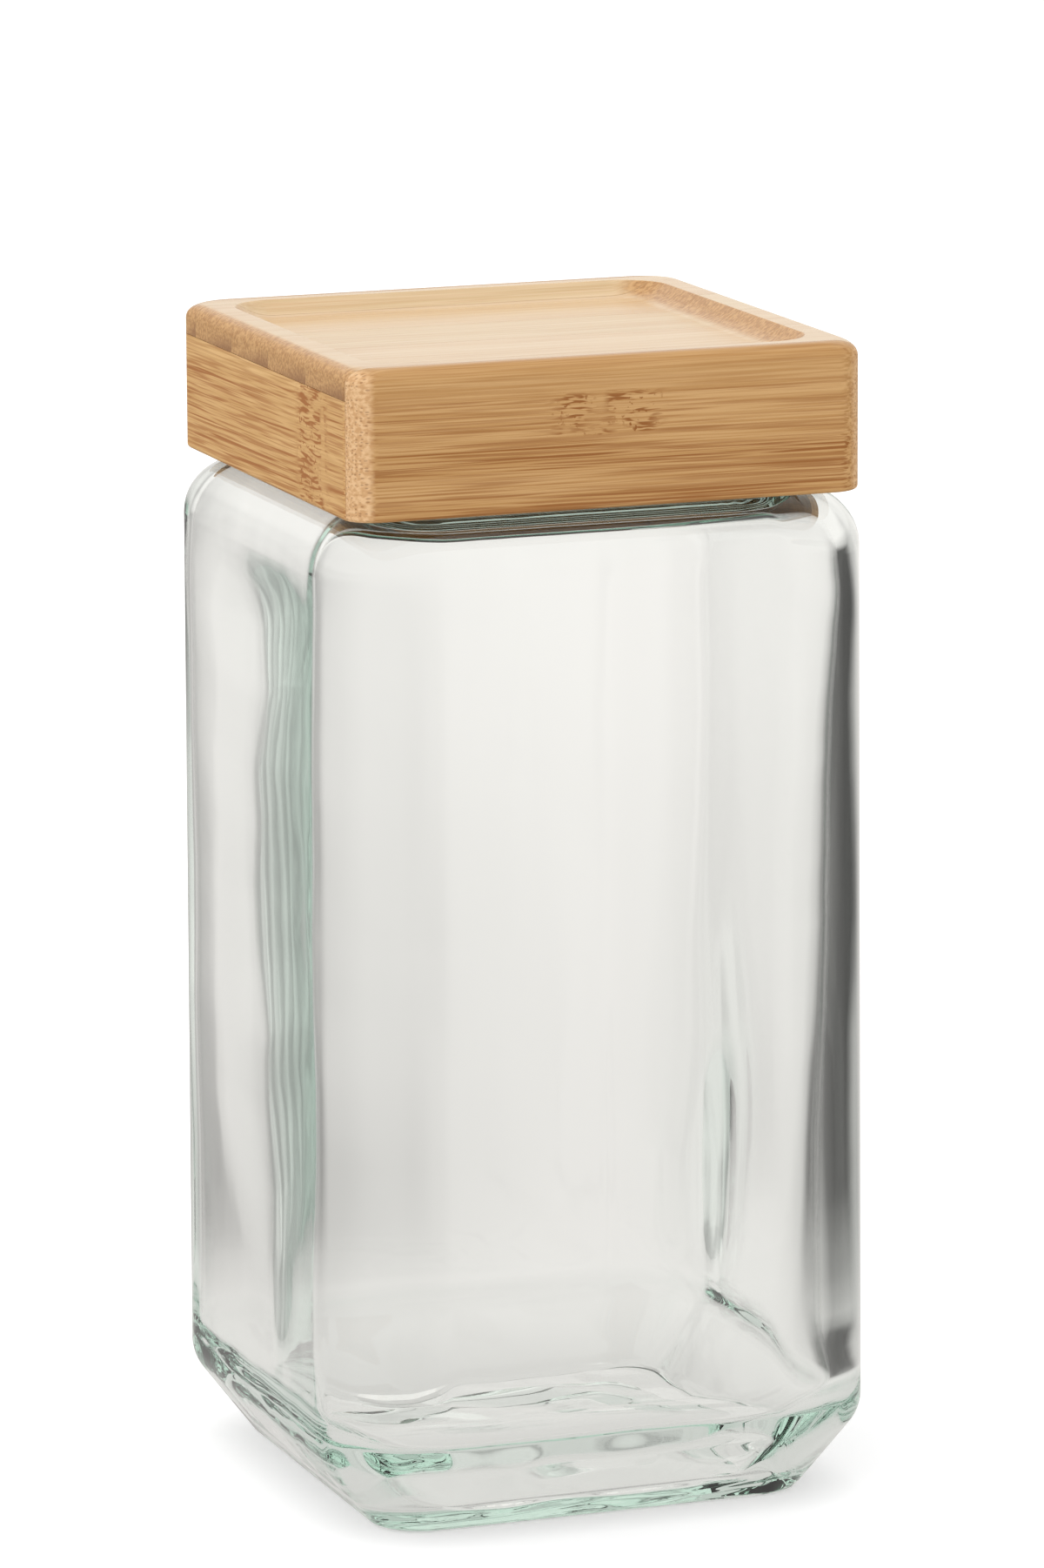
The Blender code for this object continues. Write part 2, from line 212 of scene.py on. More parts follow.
@dataclass(frozen=True)
class Outline:
    """An upright outline whose corners are rounded by arcs.

    Args:
        turns: The outline's corners in order.
        closed: Whether the last corner runs back to the first.
    """

    turns: tuple[Turn, ...]
    closed: bool = False

    def reach(self, index: int) -> float:
        """How far a corner's arc reaches along the sides beside it, before they limit it.

        Args:
            index: Which corner.

        Returns:
            The length in metres, zero at an open end or a sharp corner.
        """
        if not self.closed and index in (0, len(self.turns) - 1):
            return 0.0
        here = self.turns[index]
        before = self.turns[index - 1]
        after = self.turns[(index + 1) % len(self.turns)]
        heading_in = math.atan2(here.height - before.height, here.half - before.half)
        heading_out = math.atan2(after.height - here.height, after.half - here.half)
        turned = abs(math.remainder(heading_out - heading_in, math.tau))
        return here.fillet * math.tan(turned / 2)

    def reaches(self) -> list[float]:
        """Every corner's reach, limited so that no two arcs overlap on a side.

        Returns:
            The lengths in metres, in the corners' order.
        """
        wanted = [self.reach(index) for index in range(len(self.turns))]
        limited = list(wanted)
        sides = len(self.turns) if self.closed else len(self.turns) - 1
        for index in range(sides):
            other = (index + 1) % len(self.turns)
            length = math.dist(self.turns[index][:2], self.turns[other][:2])
            both = wanted[index] + wanted[other]
            if both > length:
                limited[index] = min(limited[index], wanted[index] * length / both)
                limited[other] = min(limited[other], wanted[other] * length / both)
        return limited

    def arc(self, index: int, reach: float, steps: int) -> list[Station]:
        """The stations of one rounded corner.

        Args:
            index: Which corner.
            reach: How far its arc reaches along its sides.
            steps: How many steps the arc takes.

        Returns:
            The stations from the arc's start to its end.
        """
        here = self.turns[index]
        middle = Station(here.half, here.height, here.corner)
        if reach <= 0.0:
            return [middle]
        before = self.turns[index - 1]
        after = self.turns[(index + 1) % len(self.turns)]
        start = blend_stations(middle, before, reach / math.dist(here[:2], before[:2]))
        end = blend_stations(middle, after, reach / math.dist(here[:2], after[:2]))
        heading = math.atan2(here.height - start.height, here.half - start.half)
        heading_out = math.atan2(end.height - here.height, end.half - here.half)
        turned = math.remainder(heading_out - heading, math.tau)
        radius = reach / math.tan(abs(turned) / 2)
        stations = []
        for step in range(steps + 1):
            share = step / steps
            chord = 2 * radius * math.sin(abs(turned) * share / 2)
            direction = heading + turned * share / 2
            coming = blend_stations(start, middle, share)
            going = blend_stations(middle, end, share)
            corner = blend_stations(coming, going, share).corner
            half = start.half + chord * math.cos(direction)
            height = start.height + chord * math.sin(direction)
            stations.append(Station(half, height, corner))
        return stations

    def stations(self, steps: Steps) -> list[Station]:
        """Stations along the whole outline, in order, with no two in one place.

        Args:
            steps: How finely the outline is followed.

        Returns:
            The stations.
        """
        rough: list[Station] = []
        for index, reach in enumerate(self.reaches()):
            rough += self.arc(index, reach, steps.arc)
        if self.closed:
            rough.append(rough[0])
        fine = [rough[0]]
        for following in rough[1:]:
            last = fine[-1]
            length = math.dist(last[:2], following[:2])
            if length < steps.longest / 1000:
                continue
            pieces = math.ceil(length / steps.longest)
            for piece in range(1, pieces + 1):
                fine.append(blend_stations(last, following, piece / pieces))
        if self.closed:
            fine.pop()
        return fine

    def loft(self, steps: Steps) -> bmesh.types.BMesh:
        """A closed form through the outline's stations."""
        return loft_rings([ring_points(station, steps) for station in self.stations(steps)], self.closed)


def ring_points(station: Station, steps: Steps, rounder: Sequence[float] = (0.0,) * 4) -> list[Vector]:
    """Points of a level rounded square, counter-clockwise from its +X side.

    Args:
        station: The square's half width, height and corner radius.
        steps: How many steps the corners and sides take.
        rounder: What to add to the radius of each corner in turn.

    Returns:
        The points; every ring with the same steps has the same count.
    """
    points = []
    for quarter in range(4):
        turn = Matrix.Rotation(math.radians(90) * quarter, 3, "Z")
        start = station.half - station.corner - rounder[quarter - 1]
        radius = station.corner + rounder[quarter]
        centre = station.half - radius
        for step in range(steps.side):
            along = -start + (start + centre) * step / steps.side
            points.append(turn @ Vector((station.half, along, station.height)))
        for step in range(steps.corner):
            angle = math.radians(90) * step / steps.corner
            x = centre + radius * math.cos(angle)
            y = centre + radius * math.sin(angle)
            points.append(turn @ Vector((x, y, station.height)))
    return points


def loft_rings(rings: Sequence[Sequence[Vector]], closed: bool = False) -> bmesh.types.BMesh:
    """A closed form through rings of equal counts.

    Args:
        rings: The rings of points in order.
        closed: Whether the last ring runs back to the first; otherwise both ends are capped.

    Returns:
        The form, with its faces turned outwards.
    """
    shape = bmesh.new()
    corners = [[shape.verts.new(point) for point in ring] for ring in rings]
    pairs = list(zip(corners, corners[1:]))
    if closed:
        pairs.append((corners[-1], corners[0]))
    for lower, upper in pairs:
        for index, corner in enumerate(lower):
            following = (index + 1) % len(lower)
            shape.faces.new((corner, lower[following], upper[following], upper[index]))
    if not closed:
        shape.faces.new(list(reversed(corners[0])))
        shape.faces.new(corners[-1])
    bmesh.ops.recalc_face_normals(shape, faces=shape.faces)
    return shape


def mesh_from(shape: bmesh.types.BMesh, name: str) -> bpy.types.Mesh:
    """Turns a form into a mesh of that name and frees it.

    Args:
        shape: The form.
        name: The mesh's name.

    Returns:
        The mesh.
    """
    mesh = bpy.data.meshes.new(name)
    shape.to_mesh(mesh)
    shape.free()
    return mesh


def hang_piece(
    name: str,
    mesh: bpy.types.Mesh,
    material: bpy.types.Material,
    body: str,
    nodes: Iterable[str],
) -> bpy.types.Object:
    """Puts a finished mesh in the scene, on the body that it moves with.

    Args:
        name: The piece's name.
        mesh: Its mesh, in the frame's own space.
        material: Its finish.
        body: The body that it rides on.
        nodes: The frame's nodes that it stands for.

    Returns:
        The new object.
    """
    mesh.materials.append(material)
    mesh.shade_smooth()
    mesh.set_sharp_from_angle(angle=SMOOTH_ANGLE)
    piece = bpy.data.objects.new(name, mesh)
    bpy.context.scene.collection.objects.link(piece)
    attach(piece, body)
    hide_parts(*nodes)
    log.info("%s: %d faces, on %s", name, len(mesh.polygons), body)
    return piece


class Value:
    """One output of a node, with which sums can be written plainly."""

    def __init__(self, wiring: "Wiring", socket: bpy.types.NodeSocket) -> None:
        """Holds the output.

        Args:
            wiring: The wiring that it belongs to.
            socket: The output.
        """
        self.wiring = wiring
        self.socket = socket

    def __add__(self, other: object) -> "Value":
        """This value plus another."""
        return self.wiring.math("ADD", self, other)

    def __sub__(self, other: object) -> "Value":
        """This value less another."""
        return self.wiring.math("SUBTRACT", self, other)

    def __rsub__(self, other: float) -> "Value":
        """A number less this value."""
        return self.wiring.math("SUBTRACT", other, self)

    def __mul__(self, other: object) -> "Value":
        """This value times another."""
        return self.wiring.math("MULTIPLY", self, other)

    def __truediv__(self, other: object) -> "Value":
        """This value divided by another, and kept between 0 and 1."""
        return self.wiring.math("DIVIDE", self, other, clamp=True)

    def larger(self, other: object) -> "Value":
        """The larger of this value and another."""
        return self.wiring.math("MAXIMUM", self, other)

    def above(self, least: float) -> "Value":
        """This value from 0 to 1, drawn up to run from the least to 1."""
        return self * (1.0 - least) + least

    def spares(self, depth: float) -> "Value":
        """What is left of 1 where this value from 0 to 1 takes a depth from it."""
        return 1.0 - self * depth

    def step(self, low: float, high: float) -> "Value":
        """A soft step from 0 to 1 as this value goes from low to high, which may lie below low."""
        inputs = {"Value": self, "From Min": low, "From Max": high}
        return self.wiring.read("ShaderNodeMapRange", "Result", inputs, interpolation_type="SMOOTHSTEP")

    def mottle(self, scale: float, detail: float) -> "Value":
        """Soft noise at this place, from about 0 to 1, packed by scale, with finer layers."""
        inputs = {"Vector": self, "Scale": scale, "Detail": detail}
        return self.wiring.read("ShaderNodeTexNoise", "Fac", inputs)

    def dot(self, direction: Sequence[float]) -> "Value":
        """How far this vector points along a fixed direction."""
        inputs = {0: self, 1: tuple(direction)}
        return self.wiring.read("ShaderNodeVectorMath", "Value", inputs, operation="DOT_PRODUCT")

    def split(self) -> list["Value"]:
        """This vector's three numbers."""
        parts = self.wiring.node("ShaderNodeSeparateXYZ", {0: self}).outputs
        return [Value(self.wiring, part) for part in parts]

    def mix(self, first: object, second: object, kind: MixKind = MixKind.COLOURS) -> "Value":
        """Mixes two colours or two numbers.

        Args:
            first: What it is where this value is 0.
            second: What it is where this value is 1.
            kind: Which of the two is mixed.

        Returns:
            The mixture.
        """
        data_type, entry, result = kind.value
        inputs = {0: self, entry: first, entry + 1: second}
        return self.wiring.read("ShaderNodeMix", result, inputs, data_type=data_type)


class Wiring:
    """Lays out the nodes of one material or world and joins them up."""

    def __init__(self, tree: bpy.types.NodeTree) -> None:
        """Starts from an empty tree.

        Args:
            tree: The node tree to fill.
        """
        self.tree = tree
        tree.nodes.clear()

    def node(self, kind: str, inputs: dict | None = None, **settings: object) -> bpy.types.Node:
        """Adds a node.

        Args:
            kind: The node's type, as Blender names it.
            inputs: What to set on or join to its inputs, by their names or numbers.
            **settings: The node's own settings.

        Returns:
            The new node.
        """
        made = self.tree.nodes.new(kind)
        for key, value in settings.items():
            setattr(made, key, value)
        for key, value in (inputs or {}).items():
            if isinstance(value, Value):
                self.tree.links.new(value.socket, made.inputs[key])
            else:
                made.inputs[key].default_value = value
        return made

    def read(
        self, kind: str, output: str | int, inputs: dict | None = None, **settings: object
    ) -> Value:
        """Adds a node and takes one of its outputs, by its name or number."""
        return Value(self, self.node(kind, inputs, **settings).outputs[output])

    def math(self, operation: str, *values: object, clamp: bool = False) -> Value:
        """A sum on values and numbers, kept between 0 and 1 if clamped."""
        inputs = dict(enumerate(values))
        return self.read("ShaderNodeMath", 0, inputs, operation=operation, use_clamp=clamp)

    def vector(self, x: Value, y: Value, z: Value) -> Value:
        """A vector from three numbers."""
        return self.read("ShaderNodeCombineXYZ", 0, {0: x, 1: y, 2: z})

    def bump(self, strength: float, distance: float, height: Value) -> Value:
        """A surface's direction, tilted by a fine relief."""
        inputs = {"Strength": strength, "Distance": distance, "Height": height}
        return self.read("ShaderNodeBump", 0, inputs)

    def finish(self, sockets: dict, **others: Value) -> None:
        """Ends a material in a surface with these settings, and in any other shader named."""
        surface = self.read("ShaderNodeBsdfPrincipled", 0, sockets)
        self.node("ShaderNodeOutputMaterial", {"Surface": surface, **others})


Place = tuple[Value, Value, Value]


def tone(red: int, green: int, blue: int) -> Colour:
    """A colour as it looks on a screen, turned into the light it stands for.

    Args:
        red: Red from 0 to 255.
        green: Green from 0 to 255.
        blue: Blue from 0 to 255.

    Returns:
        The linear colour, with full opacity.
    """
    shares = (value / 255 for value in (red, green, blue))
    linear = [s / 12.92 if s <= 0.04045 else ((s + 0.055) / 1.055) ** 2.4 for s in shares]
    return (*linear, 1.0)


def new_material(name: str) -> tuple[bpy.types.Material, Wiring]:
    """A new material with nothing in it yet.

    Args:
        name: Its name.

    Returns:
        The material and the wiring of its nodes.
    """
    material = bpy.data.materials.new(name)
    material.use_nodes = True
    return material, Wiring(material.node_tree)


@dataclass(frozen=True)
class GlassFinish:
    """Clear soda glass with a faint green tint that shows where it is thick.

    Args:
        refraction: How strongly it bends light.
        tint: What is left of white light after a long way through it.
        density: How quickly the tint builds up, per metre.
        ripple: How closely the surface's ripple is packed, per metre.
        bump: How strongly the ripple tilts the surface.
        bump_height: How high it stands.
    """

    refraction: float = 1.51
    tint: Colour = (0.45, 0.76, 0.63, 1.0)
    density: float = 9.0
    ripple: float = 90.0
    bump: float = 0.04
    bump_height: float = 0.0006

    def material(self) -> bpy.types.Material:
        """Makes the material.

        Returns:
            The new material.
        """
        material, wiring = new_material("green_tinted_glass")
        ripple = wiring.read("ShaderNodeTexCoord", "Object").mottle(self.ripple, 1.0)
        depth = {"Color": self.tint, "Density": self.density}
        wiring.finish(
            {
                "Base Color": WHITE,
                "Roughness": 0.0,
                "IOR": self.refraction,
                "Transmission Weight": 1.0,
                "Normal": wiring.bump(self.bump, self.bump_height, ripple),
            },
            Volume=wiring.read("ShaderNodeVolumeAbsorption", 0, depth),
        )
        return material


@dataclass(frozen=True)
class SiliconeFinish:
    """Milky, slightly see-through silicone with a soft sheen.

    Args:
        colour: Its main colour.
        cloudy: The slightly darker colour that it is mottled with.
        cloud: How closely the mottling is packed, per metre.
        roughness: How rough it is.
        refraction: How strongly it bends light.
        milkiness: How much light spreads inside it, from 0 to 1.
        depth: How far that light gets, in metres.
        bump: How strongly the mottling tilts the surface.
        bump_height: How high it stands.
    """

    colour: Colour = tone(232, 234, 230)
    cloudy: Colour = tone(214, 217, 212)
    cloud: float = 260.0
    roughness: float = 0.38
    refraction: float = 1.41
    milkiness: float = 0.3
    depth: float = 0.002
    bump: float = 0.1
    bump_height: float = 0.00005

    def material(self) -> bpy.types.Material:
        """Makes the material.

        Returns:
            The new material.
        """
        material, wiring = new_material("milky_silicone")
        cloud = wiring.read("ShaderNodeTexCoord", "Object").mottle(self.cloud, 2.0)
        wiring.finish(
            {
                "Base Color": cloud.mix(self.colour, self.cloudy),
                "Roughness": self.roughness,
                "IOR": self.refraction,
                "Subsurface Weight": self.milkiness,
                "Subsurface Radius": (self.depth, self.depth, self.depth),
                "Normal": wiring.bump(self.bump, self.bump_height, cloud),
            }
        )
        return material


class Weave(NamedTuple):
    """A noise drawn out along the grain.

    Args:
        along: How closely it is packed along the grain, per metre.
        across: How closely it is packed across the grain.
        detail: How many finer layers it has.
    """

    along: float
    across: float
    detail: float = 1.0

    def point(self, place: Place) -> Value:
        """Where to read the noise for a place, given as how far it lies along, across and up."""
        scales = (self.along, self.across, self.across)
        return place[0].wiring.vector(*(value * scale for value, scale in zip(place, scales)))

    def at(self, place: Place) -> Value:
        """The noise at a place, from about 0 to 1."""
        return self.point(place).mottle(1.0, self.detail)


# The noises in the bamboo: what moves its fibres, its patches and bands, its fine threads and grains.
DRIFT = Weave(12.0, 90.0)
WOBBLE = Weave(380.0, 300.0)
BEND = Weave(150.0, 150.0, 0.0)
PATCHES = Weave(230.0, 90.0, 0.0)
BANDS = Weave(6.0, 190.0, 2.0)
SILK = Weave(30.0, 2600.0, 3.0)
SAND = Weave(500.0, 1500.0, 2.0)
# Where a noise starts to show, and where it is full.
SOFT_STEP = (0.34, 0.66)
SAND_STEP = (0.36, 0.64)
PATCH_STEP = (0.28, 0.44)
LINE_START = 0.47
LINE_STEP = 0.13
# How far a face turns before it shows end grain, or counts as lying on top.
NEAR_END = (-0.10, -0.40)
# The far side turns further before it shows end grain, so its rounding keeps the darker long-grain colour:
# painted shade on the side away from the key light.
FAR_END_WITH_PAINTED_SHADE = (0.40, 0.70)
UPWARD = (0.6, 0.95)
# How far a seed moves a board's pattern, along the grain and across it.
SEED_ALONG = 0.0371
SEED_ACROSS = 0.0137


class Lines(NamedTuple):
    """One sort of dark line along the grain, with tapered ends.

    Args:
        length: About how long the lines are.
        width: About how far apart they lie.
        rare: From 0 for many lines to 1 for few.
        depth: How dark they are, from 0 to 1.
    """

    length: float
    width: float
    rare: float
    depth: float = 1.0

    def at(self, place: Place) -> Value:
        """How dark the lines are at a place.

        Args:
            place: Where the point lies among the fibres: along, across and up.

        Returns:
            From the lines' depth in the dark of a line to 0 outside.
        """
        start = LINE_START + LINE_STEP * self.rare
        drawn_out = Weave(1 / self.length, 1 / self.width).at(place)
        return drawn_out.step(start, start + LINE_STEP) * self.depth


FINE_LINES = Lines(length=0.030, width=0.00040, rare=0.10, depth=0.60)
BOLD_LINES = Lines(length=0.042, width=0.00062, rare=0.55, depth=0.9)
DASHES = Lines(length=0.0034, width=0.00058, rare=0.10, depth=0.95)
DOTS = Lines(length=0.0009, width=0.0009, rare=1.0)


@dataclass(frozen=True)
class Knuckle:
    """A bamboo node across a board, where the fibres break up and wander.

    Args:
        place: Where it lies along the grain.
        spread: Half the length that it takes up.
        low: The lowest height that it reaches.
        high: The highest.
        shift: How far the fibres wander sideways in it.
        dash: About how long its dark dashes are.
        fringe: How soft its upper and lower ends are.
        soft: How soft its sides are, as a share of its spread.
        plainest: How dark the dashes are where they are faintest.
    """

    place: float
    spread: float = 0.004
    low: float = -1.0
    high: float = 1.0
    shift: float = 0.0012
    dash: float = DASHES.length
    fringe: float = 0.0008
    soft: float = 0.3
    plainest: float = 0.15

    def covers(self, place: Place) -> Value:
        """How much a place lies in the knuckle.

        Args:
            place: How far the point lies along, across and up.

        Returns:
            The share, from 0 to 1.
        """
        away = place[0].wiring.math("ABSOLUTE", place[0] - self.place)
        near = away.step(self.spread * (1 + self.soft), self.spread * (1 - self.soft))
        above = place[2].step(self.low - self.fringe, self.low + self.fringe)
        below = place[2].step(self.high + self.fringe, self.high - self.fringe)
        return near * (above * below)

    def dashes(self, place: Place) -> Value:
        """The knuckle's short dark dashes and dots.

        Args:
            place: How far the point lies along, across and up.

        Returns:
            From 1 where they are darkest to 0 outside.
        """
        along, across, height = place
        bend = (BEND.at(place) - 0.5) * (self.shift * 2)
        bent = (along, across, height + bend)
        dash = DASHES._replace(length=self.dash).at(bent)
        patch = PATCHES.at(place).step(*PATCH_STEP).above(self.plainest)
        return dash.larger(DOTS.at(bent)) * patch * self.covers(place)


@dataclass(frozen=True)
class BambooFinish:
    """Lacquered bamboo: dark fibre bundles that run through a honey ground.

    The bundles are solid rods with a little wander: they show as streaks where a surface runs
    with them, and as dots where it cuts across.

    Args:
        name: The finish's name.
        axis: Which way the fibres run.
        ground: The colour between the fibres, on the long faces.
        light: Its lighter lines.
        deep: Its darker bands.
        fibre: The colour of the fibres.
        end_ground: The colour between the fibres, on the end grain.
        end_shade: Its darker patches.
        end_fibre: The colour of the fibres' cut ends.
        seed: Sets one board's pattern apart from the next.
        streaks: How dark the streaks are, from 0 to 1.
        dots: How dark the cut ends are, from 0 to 1.
        faintest: How dark the streaks are between the darker bands, as a share.
        calm: How much fainter they are where they are faint.
        broken: How much of them a knuckle takes.
        palest: How dark the palest bundle is, as a share of the darkest.
        bundle: How far apart the fibre bundles lie.
        bundle_core: How far a bundle's dark core reaches, as a share of that.
        bundle_edge: How far its soft edge reaches.
        slope: How far the fibres climb for each unit along the board.
        drift: How far they wander from their line.
        sheen: How strongly the lacquer reflects, 0.5 being plain lacquer.
        refraction: How strongly the lacquer bends light.
        roughness: How rough it is on upright faces.
        polish: How much smoother it is on top.
        banding: How strongly the darker bands show.
        bump: How strongly the fibres tilt the surface.
        bump_height: How high they stand.
        silk_relief: How high its fine threads stand beside the streaks.
        knuckles: The bamboo nodes across it.
        calm_above: The height above which the streaks are faint.
        calm_step: How far below and above that height they turn faint.
        dusk: How much the end grain darkens towards the board's foot.
        dusk_tone: The colour that it darkens to.
        dusk_rise: How high above the foot that darkening reaches where it is deepest.
        dusk_foot: How high it reaches where it is thinnest.
        foot: The height of the board's foot.
        dusk_run: Where across the board that darkening is deepest, and where it is thinnest.
        reach: How long the streaks are, 1 being a front rail's.
    """

    name: str
    axis: GrainAxis
    ground: Colour = tone(190, 144, 90)
    light: Colour = tone(208, 165, 112)
    deep: Colour = tone(182, 134, 78)
    fibre: Colour = tone(140, 80, 28)
    end_ground: Colour = tone(228, 188, 142)
    end_shade: Colour = tone(206, 160, 112)
    end_fibre: Colour = tone(130, 80, 42)
    seed: float = 0.0
    streaks: float = 0.9
    dots: float = 0.9
    faintest: float = 0.5
    calm: float = 0.65
    broken: float = 0.6
    palest: float = 0.4
    bundle: float = 0.00066
    bundle_core: float = 0.18
    bundle_edge: float = 0.38
    slope: float = 0.004
    drift: float = 0.0004
    sheen: float = 0.2
    refraction: float = 1.5
    roughness: float = 0.48
    polish: float = 0.28
    banding: float = 0.35
    bump: float = 0.3
    bump_height: float = 0.00005
    silk_relief: float = 0.4
    knuckles: tuple[Knuckle, ...] = ()
    calm_above: float | None = None
    calm_step: tuple[float, float] = (0.0015, 0.0005)
    dusk: float = 0.0
    dusk_tone: Colour = tone(140, 92, 52)
    dusk_rise: float = 0.0028
    dusk_foot: float = 0.0006
    foot: float = 0.0
    dusk_run: tuple[float, float] = (0.0, 1.0)
    reach: float = 1.0

    def wandered(self, place: Place) -> Place:
        """Where a point lies among the fibres, which climb and drift and part round the knuckles.

        Args:
            place: How far the point lies along, across and up.

        Returns:
            The same three lengths, as the fibres have them.
        """
        along, across, height = place
        climb = (DRIFT.at(place) - 0.5) * self.drift + along * self.slope
        height = height + climb
        for knuckle in self.knuckles:
            height = height + knuckle.covers(place) * (WOBBLE.at(place) - 0.5) * knuckle.shift
        across = across - climb + self.seed * SEED_ACROSS
        return along + self.seed * SEED_ALONG, across, height

    def bundles(self, place: Place) -> Value:
        """The fibre bundles, cut across.

        Args:
            place: Where the point lies among the fibres.

        Returns:
            From 1 in a dark bundle's core to 0 outside.
        """
        section = Weave(0.0, 1 / self.bundle).point(place)
        inputs = {"Vector": section, "Scale": 1.0, "Randomness": 0.5}
        cells = section.wiring.node("ShaderNodeTexVoronoi", inputs, feature="F1")
        distance, weight = (Value(section.wiring, cells.outputs[name]) for name in ("Distance", "Color"))
        return distance.step(self.bundle_edge, self.bundle_core) * weight.split()[0].above(self.palest)

    def streaked(self, drawn: Place, fibres: Place, bands: Value) -> Value:
        """The dark streaks along the board.

        Args:
            drawn: How far the point lies along, across and up.
            fibres: Where it lies among the fibres.
            bands: The board's darker bands, where the streaks are dark too.

        Returns:
            From 1 where they are darkest to 0 outside.
        """
        sorts = (lines._replace(length=lines.length * self.reach) for lines in (FINE_LINES, BOLD_LINES))
        fine, bold = (lines.at(fibres) for lines in sorts)
        streak = fine.larger(bold) * bands.above(self.faintest)
        if self.calm_above is not None:
            below, above = self.calm_step
            calm = drawn[2].step(self.calm_above - below, self.calm_above + above)
            streak = streak * calm.spares(self.calm)
        for knuckle in self.knuckles:
            streak = streak * knuckle.covers(drawn).spares(self.broken)
            streak = streak.larger(knuckle.dashes(drawn))
        return streak * self.streaks

    def end_colour(self, drawn: Place, fibres: Place) -> Value:
        """The colour of the end grain.

        Args:
            drawn: How far the point lies along, across and up.
            fibres: Where it lies among the fibres.

        Returns:
            The colour.
        """
        cut = SAND.at(fibres).step(*SAND_STEP).mix(self.end_ground, self.end_shade)
        if self.dusk > 0.0:
            deepest, thinnest = self.dusk_run
            rise = drawn[1].step(thinnest, deepest) * self.dusk_rise + (self.foot + self.dusk_foot)
            wedge = (rise - drawn[2]) / self.dusk_rise
            cut = (wedge * self.dusk).mix(cut, self.dusk_tone)
        return (self.bundles(fibres) * self.dots).mix(cut, self.end_fibre)

    def material(self) -> bpy.types.Material:
        """Makes the material.

        Returns:
            The new material.
        """
        material, wiring = new_material(self.name)
        x, y, height = wiring.read("ShaderNodeTexCoord", "Object").split()
        normal = wiring.read("ShaderNodeTexCoord", "Normal")
        runs_x = self.axis is GrainAxis.ALONG_X
        drawn = (x, y, height) if runs_x else (y, x, height)
        fibres = self.wandered(drawn)
        facing = normal.dot((1, 0, 0) if runs_x else (0, 1, 0))
        # Far-side end grain shows later, leaving painted shade on the side away from the key light.
        end_grain = facing.step(*NEAR_END).larger(facing.step(*FAR_END_WITH_PAINTED_SHADE))
        upward = normal.dot((0, 0, 1)).step(*UPWARD)
        bands = BANDS.at(fibres).step(*SOFT_STEP)
        silk = SILK.at(fibres)
        streak = self.streaked(drawn, fibres, bands)
        body = silk.step(*SOFT_STEP).mix(self.light, self.ground)
        body = (bands * self.banding).mix(body, self.deep)
        body = streak.mix(body, self.fibre)
        relief = 1.0 - (streak + silk * self.silk_relief)
        wiring.finish(
            {
                "Base Color": end_grain.mix(body, self.end_colour(drawn, fibres)),
                "Roughness": self.roughness - upward * self.polish,
                "IOR": self.refraction,
                "Specular IOR Level": self.sheen,
                "Normal": wiring.bump(self.bump, self.bump_height, relief),
            }
        )
        return material


